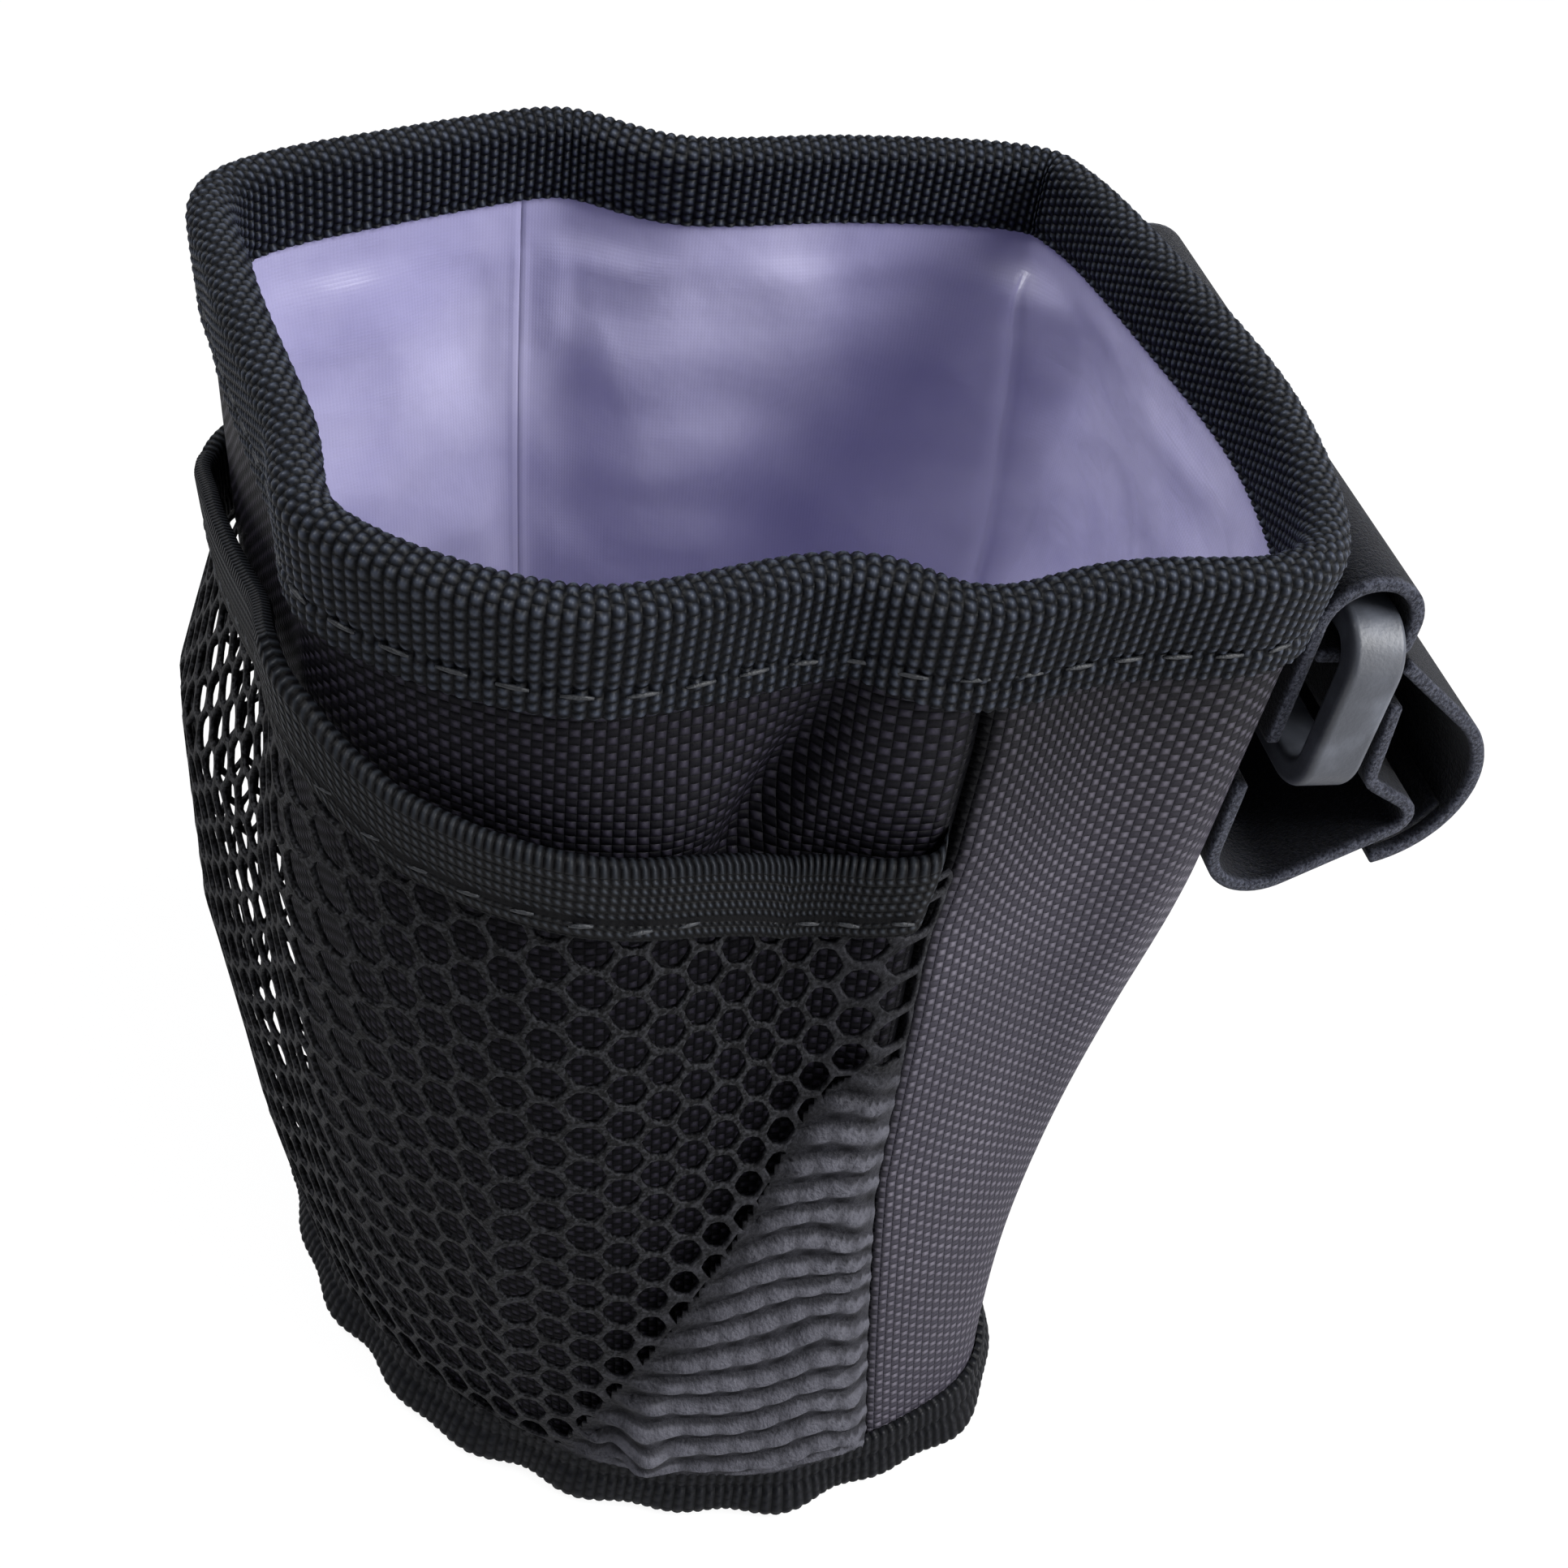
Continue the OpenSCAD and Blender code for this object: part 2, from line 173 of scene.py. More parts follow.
# Belt strap: its runs are (length, 0) straight on or (radius, angle) round a bend, in the plane of Y and Z
WALL_FACE = 37.4
STRAP = 1.2
STRAP_WIDTH = 60
STRAP_MIDDLE = -8
STRAP_WEAR = 0.25
STRAP_STEPS = 40
STRAP_FINENESS = 1.6
ARCH_RADIUS = 4.3
ARCH_MIDDLE = (WALL_FACE + STRAP / 2 + ARCH_RADIUS, 96.6)
KEEPER_LEG = 12.6
KEEPER_START = (WALL_FACE + STRAP / 2, ARCH_MIDDLE[1] - KEEPER_LEG, 90)
KEEPER_RUN = ((KEEPER_LEG, 0), (ARCH_RADIUS, -180), (1.9, 0), (1.2, -90), (6.5, 0))
LOWER_START = (WALL_FACE - 0.5, ARCH_MIDDLE[1] - 17.6, -90)
LOWER_RUN = ((8, 0), (5, 123), (11, 0), (2, 117), (4.2, 0), (2, -55), (8, 0))
FLAP_START = (ARCH_MIDDLE[0] + 5.3, ARCH_MIDDLE[1] - 4.3, -38)
FLAP_RUN = ((10.5, 0), (9.6, -124))
HOOK_RADIUS = 8.55
HOOK_BEND = 48
HOOK_SHORT = 4
HOOK_THICK = 0.8
HOOK_WIDTH = STRAP_WIDTH - 2
STRAIGHT_PARTS = 6
BEND_PART = 6

# The photograph's camera: place in metres, heading, tilt down and roll in degrees, lens and sensor
CAMERA_PLACE = (0.1344, -0.0420, 0.1872)
CAMERA_TURN = (71.6, 42, -11.26)
SENSOR = 36
LENS = 2400 / 1932 * SENSOR
LAMP_AIM = (0, 0, 0.06)


# The wall as a function of the place round it and the height
def table(values, x):
    places, heights = zip(*values)
    return np.interp(x, places, heights)


def ease(low, high, x):
    share = np.clip((x - low) / (high - low), 0, 1)
    return share * share * (3 - 2 * share)


def bell(off, wide):
    """1 in the middle, falling away to both sides."""
    return np.exp(-(off / wide)**2)


def around(off):
    """A distance in places, counted the shorter way round the pouch."""
    return (off + TURN / 2) % TURN - TURN / 2


def run_along(points):
    """The length of a path up to each of its points."""
    return np.concatenate(([0], np.cumsum(np.linalg.norm(np.diff(points, axis=0), axis=1))))


def mouth(u):
    """The mouth's outline, smooth through its points."""
    i = np.floor(u).astype(int)
    t = (u - i)[:, None]
    a, b, c, d = (MOUTH_POINTS[(i + k) % TURN] for k in (-1, 0, 1, 2))
    return 0.5 * (2 * b + (c - a) * t + (2 * a - 5 * b + 4 * c - d) * t**2 + (3 * b - a - 3 * c + d) * t**3)


def pull(x, y, z):
    """How far the strap's seams move the back wall out."""
    low, full, hold, top = PULL_HEIGHTS
    along = ease(*PULL_LEFT, x) * ease(*PULL_RIGHT, x)
    short = np.where(y > PULL_BEHIND, np.maximum(0, PULL_FACE - y), 0)
    return short * ease(low, full, z) * ease(top, hold, z) * along


def section(u, z):
    """The wall's outline at height z: a base with a flat back that turns into the mouth on its way up."""
    rim = mouth(u + table(SEAM_LEAN, z) * bell(around(u), LEAN_REACH))
    a = np.arctan2(rim[:, 1] - MOUTH_MIDDLE[1], rim[:, 0] - MOUTH_MIDDLE[0])
    back = np.maximum(np.sin(a), 0) / BASE_BACK
    reach = (BASE_RADIUS**-float(BACK_SHARPNESS) + back**BACK_SHARPNESS)**(-1 / BACK_SHARPNESS)
    waves = sum(high * np.sin(count * a + shift) for high, count, shift in BASE_WAVES)
    reach = reach + np.maximum(0, 1 - z / SEAM_HEIGHT) * (SEAM_FLARE + waves)
    base = reach[:, None] * np.stack((np.cos(a), np.sin(a)), 1)
    share = 1 - (1 - np.clip((z - SEAM_HEIGHT) / (POUCH_HEIGHT - SEAM_HEIGHT), 0, 1))**MOUTH_EASE
    outline = base + (rim - base) * share[:, None]
    outline[:, 1] += pull(outline[:, 0], outline[:, 1], z)
    return outline


def wall(u, z, away):
    """Points of the wall at places u and heights z, moved outwards by away."""
    u, z = np.broadcast_arrays(np.asarray(u, float), np.asarray(z, float))
    across = section(u + SIDESTEP, z) - section(u - SIDESTEP, z)
    across /= np.linalg.norm(across, axis=1)[:, None]
    out = np.stack((across[:, 1], -across[:, 0]), 1)
    flat = section(u, z) + out * np.broadcast_to(away, u.shape)[:, None]
    return np.column_stack((flat, z))


def give(u, z):
    """How far the soft wall stands out from its smooth form."""
    total = np.zeros_like(u)
    for place, height, wide, tall, depth, lean in SOFT_SPOTS:
        off = around(u - place - lean * (z - height))
        total += depth * bell(off, wide) * bell(z - height, tall)
    return total


class Round:
    """Even steps along the wall from one place to another, measured at height z."""

    def __init__(self, first, last, z):
        self.marks = np.linspace(first, last, ROUND_STEPS)
        self.run = run_along(section(self.marks, np.full(ROUND_STEPS, float(z))))
        self.length = self.run[-1]

    def place(self, share):
        return np.interp(share * self.length, self.run, self.marks)


def fold_path(radius, leg, inner_leg, lip):
    """A folded tape's profile as (sideways, up) from the middle of its fold, with its edges turned in."""
    turn = np.radians(np.linspace(0, 180, FOLD_STEPS))
    bend = np.stack((np.cos(turn), np.sin(turn)), 1) * radius
    outer = ((radius - lip, -leg), (radius, -leg + FOLD_EDGE))
    inner = ((-radius, -inner_leg + FOLD_EDGE), (lip - radius, -inner_leg))
    path = np.concatenate((outer, bend, inner))
    return path, run_along(path)


def along_path(path, run, share):
    return np.interp(share * run[-1], run, path[:, 0]), np.interp(share * run[-1], run, path[:, 1])


# Meshes
def finished(name, bm, material, body, node):
    """Makes an object of a bmesh, and says what it rides on, what it replaces and what it is made of."""
    mesh = bpy.data.meshes.new(name)
    for face in bm.faces:
        face.smooth = True
    bm.to_mesh(mesh)
    bm.free()
    piece = bpy.data.objects.new(name, mesh)
    bpy.context.collection.objects.link(piece)
    mesh.materials.append(material)
    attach(piece, body)
    if node:
        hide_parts(node)
    return piece


def unit_grid(columns, rows):
    """A flat grid over 0 to 1 each way, with its UV map."""
    bm = bmesh.new()
    bm.loops.layers.uv.new("UVMap")
    bmesh.ops.create_grid(bm, x_segments=columns, y_segments=rows, size=0.5, calc_uvs=True)
    bmesh.ops.translate(bm, verts=bm.verts, vec=(0.5, 0.5, 0))
    return bm


def spots_of(bm):
    return np.array([v.co for v in bm.verts])


def put(bm, points):
    for vert, point in zip(bm.verts, points):
        vert.co = point * MM


def lay_uv(bm, width, height):
    """Sets the UV map to the cloth's own metres."""
    uv = bm.loops.layers.uv.active
    for face in bm.faces:
        for loop in face.loops:
            loop[uv].uv = (loop[uv].uv[0] * width * MM, loop[uv].uv[1] * height * MM)


def laid(columns, rows, size, shape, closed=False):
    """A sheet of the given size whose points come from shape(across, up), both 0 to 1."""
    bm = unit_grid(columns, rows)
    lay_uv(bm, *size)
    spots = spots_of(bm)
    put(bm, shape(spots[:, 0], spots[:, 1]))
    if closed:
        bmesh.ops.remove_doubles(bm, verts=bm.verts, dist=1e-6)
    return bm


def thicken(piece, thickness):
    solid = piece.modifiers.new("thickness", "SOLIDIFY")
    solid.thickness = thickness * MM
    solid.offset = 0


def wrinkles(points, size, seed):
    return np.array([noise.noise(Vector(p) / size + Vector((seed, 0, 0))) for p in points])


# Materials
class Flow:
    """A socket of a material; operators on it add Math nodes, and node adds any other."""

    def __init__(self, tree, socket=None):
        self.tree = tree
        self.socket = socket

    def node(self, kind, settings=None, inputs=None, out=0):
        made = self.tree.nodes.new("ShaderNode" + kind)
        for name, value in (settings or {}).items():
            setattr(made, name, value)
        for name, value in (inputs or {}).items():
            if isinstance(value, Flow):
                self.tree.links.new(value.socket, made.inputs[name])
            else:
                made.inputs[name].default_value = value
        return Flow(self.tree, made.outputs[out])

    def beside(self, out):
        """Another output of the same node."""
        return Flow(self.tree, self.socket.node.outputs[out])

    def math(self, operation, *others):
        return self.node("Math", {"operation": operation}, dict(enumerate((self, *others))))

    def __add__(self, other):
        return self.math("ADD", other)

    def __sub__(self, other):
        return self.math("SUBTRACT", other)

    def __rsub__(self, other):
        return self.node("Math", {"operation": "SUBTRACT"}, {0: other, 1: self})

    def __mul__(self, other):
        return self.math("MULTIPLY", other)

    def __pow__(self, other):
        return self.math("POWER", other)

    __radd__ = __add__
    __rmul__ = __mul__

    def between(self, low, high):
        """0 at low and 1 at high, with soft ends."""
        return self.node("MapRange", {"interpolation_type": "SMOOTHSTEP"},
                         {"Value": self, "From Min": low, "From Max": high})

    def blend(self, dark, light):
        """A colour between two, by this value."""
        return self.node("Mix", {"data_type": "RGBA"}, {"Factor": self, 6: dark, 7: light}, out=2)


def colour(hexes):
    """A written sRGB colour as linear values."""
    parts = [int(hexes[i:i + 2], 16) / 255 for i in (1, 3, 5)]
    return (*[p / 12.92 if p <= 0.04045 else ((p + 0.055) / 1.055)**2.4 for p in parts], 1)


class Finish:
    """A new material with its shader, and the coordinates that its patterns read."""

    def __init__(self, name, **constants):
        self.material = bpy.data.materials.new(name)
        self.material.use_nodes = True
        tree = self.material.node_tree
        self.shader = tree.nodes["Principled BSDF"]
        self.flow = Flow(tree)
        for socket, value in constants.items():
            self.shader.inputs[socket.replace("_", " ")].default_value = value

    def set(self, socket, value):
        if isinstance(value, Flow):
            self.flow.tree.links.new(value.socket, self.shader.inputs[socket])
        else:
            self.shader.inputs[socket].default_value = value

    def cloth_axes(self, across, up):
        """Yarn counts across and up the cloth, from its UV map in metres."""
        place = self.flow.node("UVMap", {"uv_map": "UVMap"})
        split = self.flow.node("SeparateXYZ", None, {0: place})
        return split * (1 / (across * MM)), split.beside(1) * (1 / (up * MM))

    def spot(self):
        return self.flow.node("TexCoord", out="Object")

    def noise(self, size, detail=2.0, rough=0.5):
        return self.flow.node("TexNoise", None, {"Vector": self.spot(), "Scale": 1 / (size * MM),
                                                 "Detail": detail, "Roughness": rough})

    def bump(self, height, depth):
        return self.flow.node("Bump", None, {"Height": height, "Strength": 1.0, "Distance": depth * MM})


def humps(x):
    """0 between yarns and 1 on top of each, for a yarn count x."""
    return (x * np.pi).math("SINE").math("ABSOLUTE")


def odd(x):
    """1 on every second yarn and 0 on the others, for a yarn count x."""
    return x.math("FLOOR").math("MODULO", 2)


def plain_weave(finish, across, up):
    """Height of a plain weave, and which of its yarns is on top."""
    x, y = finish.cloth_axes(across, up)
    parity = (x.math("FLOOR") + y.math("FLOOR")).math("MODULO", 2).math("ABSOLUTE")
    warp = humps(x) ** 0.7 * humps(y) ** 0.35
    weft = humps(y) ** 0.7 * humps(x) ** 0.35
    return parity * warp + (1 - parity) * weft, parity


def outer_cloth(name, dark, light, painted_low_light, width):
    """Plain weave with painted shade in the gaps between yarns and in the grooves at the seams, lightened low
    down by painted light as far as the given share says.
    """
    f = Finish(name, Specular_IOR_Level=0.1)
    height, warp = plain_weave(f, *YARNS)
    worn = f.noise(14).between(0.35, 0.7)
    aside, _ = f.cloth_axes(1.0, 1.0)
    # Painted shade: the cloth darkens in the grooves at its seams
    groove_shade = aside.math("MINIMUM", width - aside).between(0.5, 1.8)
    # Painted shade in the weave: dark in the gaps and on the weft, light on the warp's tops; worn adds a
    # random tone
    shade = height * (0.12 + 0.88 * warp) * (0.7 + 0.3 * worn) * groove_shade
    # Painted light: the cloth turns lighter low down, where light from below falls on it
    rise = f.flow.node("SeparateXYZ", None, {0: f.spot()}, out=2)
    low = rise.between(LOW_LIGHT_FROM, LOW_LIGHT_TO) * groove_shade * painted_low_light
    woven = shade.blend(colour(dark), colour(light))
    f.set("Base Color", low.blend(woven, shade.blend(colour(LOW_LIT_DARK), colour(LOW_LIT_LIGHT))))
    f.set("Roughness", 0.6 - 0.18 * height * warp)
    f.set("Normal", f.bump(height * (0.55 + 0.45 * warp) + 0.12 * f.noise(0.25), 0.3))
    return f.material


def lining_film():
    """Cloudy film with a clear coat over a fine weave."""
    f = Finish("glossy_lavender_lining", Specular_IOR_Level=0.5, Coat_Roughness=0.2)
    cloud = f.noise(22, 3).between(0.3, 0.72)
    f.set("Base Color", cloud.blend(colour("#9b98bd"), colour("#b0adcc")))
    f.set("Roughness", 0.3 + 0.1 * cloud)
    f.set("Coat Weight", 0.35)
    x, y = f.cloth_axes(0.35, 0.35)
    f.set("Normal", f.bump(f.noise(9, 3) + 0.02 * humps(x) * humps(y), 0.5))
    return f.material


def ribbed_tape(name, light, beaded, relief):
    """Ribs with beads that stand half a step higher on every second rib, with painted shade in the gaps
    between them.
    """
    f = Finish(name, Specular_IOR_Level=0.14)
    rib, bead = f.cloth_axes(RIB, BEAD)
    height = humps(rib) * (1 - beaded + beaded * humps(bead + 0.5 * odd(rib)))
    # Painted shade: the colour darkens steeply into the gaps between ribs and beads
    shade = height ** 2.2 * (0.75 + 0.25 * f.noise(9).between(0.3, 0.7))
    f.set("Base Color", shade.blend(colour("#020306"), colour(light)))
    f.set("Roughness", 0.58 - 0.18 * height)
    f.set("Normal", f.bump(height + 0.12 * f.noise(0.2), relief))
    return f.material


def net_thread():
    """Dark thread with painted glints at its knots; drawn shut, it lies in level pleats with a painted
    highlight on each upper edge and painted shade between its beads.
    """
    f = Finish("knitted_net_thread", Specular_IOR_Level=0.12)
    knot, drawn, level, along = (f.flow.node("Attribute", {"attribute_name": name}, out=2)
                                 for name in NET_MARKS)
    twist = f.noise(0.4, 3)
    # Painted glints, mostly at the knots
    painted_glints = twist.between(0.42, 0.62) * (0.22 + 0.78 * knot)
    step = level.math("FRACT")
    # Painted highlight along each pleat's upper edge
    lip = step.between(0.45, 0.85) * step.between(1.0, 0.92)
    beads = humps(along + 0.5 * level.math("FLOOR"))
    # Painted shade in the gaps between the pleats' beads
    gap_shade = (step - 0.28).math("ABSOLUTE").between(0.3, 0.02) * beads ** 2
    edge = (0.3 + 0.7 * lip * (0.45 + 0.55 * beads)) * (0.6 + 0.8 * twist)
    edge = edge * (1 - 0.8 * gap_shade) * (0.4 + 0.6 * drawn.between(0.55, 1))
    thread = painted_glints.blend(colour("#040406"), colour("#55565c"))
    pleated = edge.blend(colour("#050508"), colour("#55555d"))
    f.set("Base Color", drawn.blend(thread, pleated))
    f.set("Roughness", 0.65 - 0.15 * twist)
    f.set("Normal", f.bump(twist, 0.2))
    return f.material


def knit_elastic():
    """Rows of slanted loops, upright ones over the fold, and a groove where the net is sewn on, with painted
    shade between the loops and in the groove.
    """
    f = Finish("knitted_elastic", Specular_IOR_Level=0.12)
    x, up = f.cloth_axes(KNIT, 1.0)
    row = up * (1 / KNIT_ROW)
    slanted = humps(x + 0.45 * row + 0.5 * odd(row)) * humps(row)
    fold = up.between(7.2, 7.4)
    groove_shade = (up - 2.5).math("ABSOLUTE").between(0.45, 0.15)
    loop = (slanted * (1 - fold) + 0.75 * humps(x) * fold) * (1 - 0.85 * groove_shade)
    # Painted shade: dark between the loops and in the groove
    f.set("Base Color", (loop ** 3).blend(colour("#010103"), colour("#373b42")))
    f.set("Roughness", 0.6 - 0.18 * loop)
    f.set("Normal", f.bump(loop + 0.1 * f.noise(0.2), 0.3))
    return f.material


def strap_nap():
    """Short fuzz, with a painted sheen on the fuzz along the tape's cut edges."""
    f = Finish("fuzzy_strap_tape", Specular_IOR_Level=0.15, Sheen_Weight=0.12, Sheen_Roughness=0.4)
    nap = f.noise(0.35, 4, 0.7)
    across, _ = f.cloth_axes(STRAP_WIDTH, 1.0)
    # Painted sheen: the fuzz along both cut edges is lighter
    edge_sheen = (across - 0.5).math("ABSOLUTE").between(0.485, 0.499)
    fuzz = nap.between(0.35, 0.7)
    f.set("Base Color", edge_sheen.blend(fuzz.blend(colour("#02040b"), colour("#161924")),
                                  fuzz.blend(colour("#1c1e28"), colour("#555865"))))
    f.set("Roughness", 0.95 - 0.1 * nap)
    f.set("Normal", f.bump(nap, 0.3))
    return f.material


def ring_plastic():
    """Satin plastic with a fine grain and worn patches."""
    f = Finish("satin_ring_plastic", Specular_IOR_Level=0.5)
    grain = f.noise(0.35, 2)
    worn = f.noise(6, 3).between(0.45, 0.75)
    f.set("Base Color", worn.blend(colour("#41444c"), colour("#60646e")))
    f.set("Roughness", 0.36 + 0.12 * grain)
    f.set("Normal", f.bump(grain, 0.03))
    return f.material


def black_thread():
    f = Finish("black_sewing_thread", Specular_IOR_Level=0.5)
    ply = f.noise(0.3, 2)
    f.set("Base Color", ply.blend(colour("#08090c"), colour("#34373d")))
    f.set("Roughness", 0.5 + 0.1 * ply)
    f.set("Normal", f.bump(ply, 0.1))
    return f.material


POCKET_CLOTH = outer_cloth("woven_pocket_side_cloth", "#020205", "#322f3b", painted_low_light=0,
                           width=Round(FAR_SEAM, TURN, PANEL_LEVEL).length)
# The strap side is a lighter copy of the same black cloth: painted light on the side that faces the lamp
LIT_STRAP_CLOTH = outer_cloth("woven_strap_side_cloth_lit", "#08080b", "#47444e", painted_low_light=1,
                          width=Round(0, FAR_SEAM, PANEL_LEVEL).length)
LINING = lining_film()
RIM_TAPE = ribbed_tape("ribbed_rim_tape", "#3e434f", beaded=0.85, relief=0.25)
# The base's tape is a darker copy of the rim's tape: painted shade on the low band by the floor
SHADED_BASE_TAPE = ribbed_tape("ribbed_base_tape_shaded", "#191a1f", beaded=0.35, relief=0.15)
NET = net_thread()
KNITTED = knit_elastic()
NAP = strap_nap()
PLASTIC = ring_plastic()
THREAD = black_thread()


# Outer cloth and lining
def side_panel(name, first, last, node, cloth):
    """One of the two cloths of the outside; its side edges are turned into the seams."""
    way = Round(first, last, PANEL_LEVEL)

    def shape(across, up):
        u, z = way.place(across), CLOTH_LOW + up * (PANEL_TOP - CLOTH_LOW)
        from_seam = np.minimum(across, 1 - across) * way.length
        tuck = -1.2 * bell(from_seam, 0.8)
        return wall(u, z, give(u, z) + tuck)

    size = (way.length, PANEL_TOP - CLOTH_LOW)
    piece = finished(name, laid(*CLOTH_STEPS, size, shape), cloth, "pouch", node)
    thicken(piece, CLOTH_THICK)


def lining_panel(name, first, last, node, seed):
    """One of the two cloths of the lining, with soft folds that start under the rim's tape."""
    way = Round(first, last, PANEL_LEVEL)

    def shape(across, up):
        u, z = way.place(across), LINING_LOW + up * (PANEL_TOP - LINING_LOW)
        from_seam = np.minimum(across, 1 - across) * way.length
        seam = -0.35 * bell(from_seam, 0.5)
        crease = -1.7 * np.exp(-np.abs(u - LINING_CREASE) / 0.22)
        flat = np.column_stack((across * way.length, z, np.zeros_like(z)))
        broad = 1.5 * wrinkles(flat * (1, 0.6, 1), 21, seed)
        sharp = 1.5 * np.abs(wrinkles(flat @ SLANT, 17, seed + 4))
        fine = 0.5 * wrinkles(flat * (0.7, 1, 1), 7, seed + 9)
        crumple = (broad + sharp + fine - 0.9) * ease(0, 5, from_seam) * ease(0, 0.1, up)
        folds = ease(*FOLDS_BELOW, z) * np.minimum(seam + crease + crumple, LINING_GIVE)
        return wall(u, z, -LINING_INSET + give(u, z) + folds)

    size = (way.length, PANEL_TOP - LINING_LOW)
    piece = finished(name, laid(*LINING_STEPS, size, shape), LINING, "pouch", node)
    thicken(piece, LINING_THICK)


def bottom(name, node, material, away, floor, thick, seed):
    """A round bottom, pulled a little out of flat, with its edge turned up into the seam."""
    bm = bmesh.new()
    bm.loops.layers.uv.new("UVMap")
    bmesh.ops.create_grid(bm, x_segments=BOTTOM_STEPS, y_segments=BOTTOM_STEPS, size=1, calc_uvs=True)
    lay_uv(bm, 2 * BASE_RADIUS, 2 * BASE_RADIUS)
    square = spots_of(bm)
    # The square's rings become rings of the base's outline
    ring = np.max(np.abs(square[:, :2]), axis=1)
    angle = np.arctan2(square[:, 1], square[:, 0])
    marks = np.linspace(0, TURN, 80 * TURN, endpoint=False)
    edge = wall(marks, SEAM_HEIGHT, away)
    bearing = np.arctan2(edge[:, 1], edge[:, 0])
    order = np.argsort(bearing)
    reach = np.interp(angle, bearing[order], np.hypot(edge[:, 0], edge[:, 1])[order], period=2 * np.pi)
    rise = np.clip((ring - BOTTOM_FLAT) / (1 - BOTTOM_FLAT), 0, 1)
    flat = np.stack((np.cos(angle), np.sin(angle)), 1) * (reach * np.minimum(1, ring / BOTTOM_MEETS))[:, None]
    bumps = wrinkles(np.column_stack((flat, np.zeros(len(flat)))), 13, seed)
    put(bm, np.column_stack((flat, floor + BOTTOM_UNEVEN * bumps * (1 - ring) + BOTTOM_RISE * rise**2)))
    piece = finished(name, bm, material, "pouch", node)
    thicken(piece, thick)


# Bindings and stitches
def binding(name, node, tape, z, middle, radius, leg, inner_leg, up, ribs_at, lift, rows, relief, beaded):
    """Ribbed tape folded over an edge of the wall; up is 1 at the rim and -1 at the base."""
    way = Round(0, TURN, ribs_at)
    ribs = round(way.length / RIB)
    path, run = fold_path(radius, leg, inner_leg, TAPE_LIP)

    def shape(across, up_tape):
        u = way.place(across)
        aside, rise = along_path(path, run, up_tape)
        deep = np.clip(-rise / leg, 0, 1)
        second = np.floor(ribs * across + 1e-6) % 2
        bead = np.abs(np.sin(np.pi * (up_tape * run[-1] / BEAD + 0.5 * second)))
        ridge = np.abs(np.sin(np.pi * ribs * across))**0.8 * (1 - beaded + beaded * bead)
        out = np.hypot(aside, np.maximum(rise, 0)) + 1e-9
        grow = 1 + relief * ridge / out
        stitched = -0.3 * bell(deep * leg - (leg - TAPE_STITCH), 0.4)
        pressed = np.sign(aside) * (stitched - 0.35 * deep)
        top = z + lift(u) + up * rise * np.where(rise > 0, grow, 1)
        return wall(u, np.maximum(top, 0.05), middle + aside * grow + pressed + give(u, top))

    size = (ribs * RIB, run[-1])
    bm = laid(ribs * LOOP_STEPS, rows, size, shape, closed=True)
    if up < 0:
        bmesh.ops.reverse_faces(bm, faces=bm.faces)
    piece = finished(name, bm, tape, "pouch", node)


def rim_lift(u):
    return sum(high * bell(around(u - place), wide) for place, wide, high in RIM_LIFTS)


def no_lift(u):
    return np.zeros_like(u)


def rim_seam(u):
    return np.full_like(u, RIM_SEAM)


def elastic_seam(u):
    return elastic_top(u) - ELASTIC_SEAM


def seam_stitches(name, first, last, pitch, height_at, away, length):
    """A row of short thread stitches along the wall."""
    way = Round(first, last, height_at(np.array([first], float))[0])
    count = int(way.length / pitch)
    u = way.place((np.arange(count) + 0.5) / count)
    z = height_at(u)
    spots = wall(u, z, away + give(u, z))
    aheads = wall(u + 0.01, z, away) - wall(u - 0.01, z, away)
    outs = wall(u, z, away + 1) - wall(u, z, away)
    size = Matrix.Diagonal((length / 2 * MM, THREAD_WIDTH / 2 * MM, THREAD_WIDTH / 2 * MM, 1))
    bm = bmesh.new()
    for spot, ahead, out in zip(spots, aheads, outs):
        ahead = Vector(ahead).normalized()
        out = Vector(out).normalized()
        turn = Matrix((ahead, out.cross(ahead), out)).transposed().to_4x4()
        bmesh.ops.create_uvsphere(bm, u_segments=6, v_segments=5, radius=1,
                                  matrix=Matrix.Translation(Vector(spot) * MM) @ turn @ size)
    finished(name, bm, THREAD, "pouch", None)


# Pockets
def elastic_top(u):
    return POUCH_HEIGHT - table(POCKET_TOP, u)


def seam_tuck(u, reach):
    """0 at the side seams and 1 away from them."""
    return 1 - bell(np.minimum(u - FAR_SEAM, TURN - u), reach)


def pocket_elastic():
    """Elastic folded over the net's top edge, with its ends tucked into the side seams."""
    way = Round(FAR_SEAM, TURN, ELASTIC_LEVEL)
    columns = round(way.length / KNIT)
    leg = ELASTIC_DEPTH - ELASTIC_RADIUS
    path, run = fold_path(ELASTIC_RADIUS, leg, leg, ELASTIC_LIP)

    def shape(across, up):
        u = way.place(across)
        aside, rise = along_path(path, run, up)
        ribs = 0.04 * np.abs(np.sin(np.pi * columns * across))
        deep = np.clip(-rise / leg, 0, 1)
        stitched = -0.2 * bell(deep * ELASTIC_DEPTH - ELASTIC_STITCH, 0.35)
        tuck = seam_tuck(u, 0.1)
        out = NET_HUG + 0.25 + aside + np.sign(aside) * (ribs + stitched - 0.3 * deep)
        top = elastic_top(u) - ELASTIC_RADIUS + rise * (1 + ribs / ELASTIC_RADIUS * (rise > 0))
        return wall(u, top, out * tuck - 0.9 * (1 - tuck))

    size = (way.length, run[-1])
    bm = laid(columns * LOOP_STEPS, ELASTIC_ROWS, size, shape)
    piece = finished("pocket_elastic_tape", bm, KNITTED, "pouch", "pocket_elastic")


